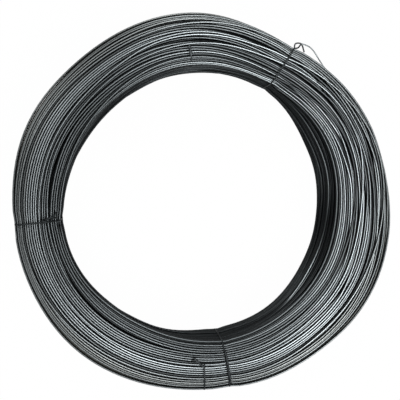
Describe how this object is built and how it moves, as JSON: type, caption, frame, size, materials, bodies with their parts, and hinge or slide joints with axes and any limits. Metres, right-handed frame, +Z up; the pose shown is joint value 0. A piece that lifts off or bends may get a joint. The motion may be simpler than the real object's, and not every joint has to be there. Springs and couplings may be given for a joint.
{
  "type": "coil of tie wire",
  "caption": "Flat-lying ring of black annealed tie wire wound in many turns round an open eye, held together by twisted ties of the same wire.",
  "frame": {"origin": "on the axis of the eye, in the plane of the floor that the coil lies on", "axes": "+Z up along the axis of the eye, +X and +Y to the right and the top of the coil as it is seen from above"},
  "size_m": [0.288, 0.288, 0.0631],
  "materials": {
    "wire_black": "black annealed, lightly oiled",
    "tie_black": "black annealed, dull"
  },
  "bodies": {
    "root": {"wire_coil": "wire_black", "loose_end": "tie_black", "tie_upper_right": "tie_black", "tie_left": "tie_black", "tie_bottom": "tie_black", "short_tie_top": "tie_black", "short_tie_bottom": "tie_black"}
  },
  "joints": []
}
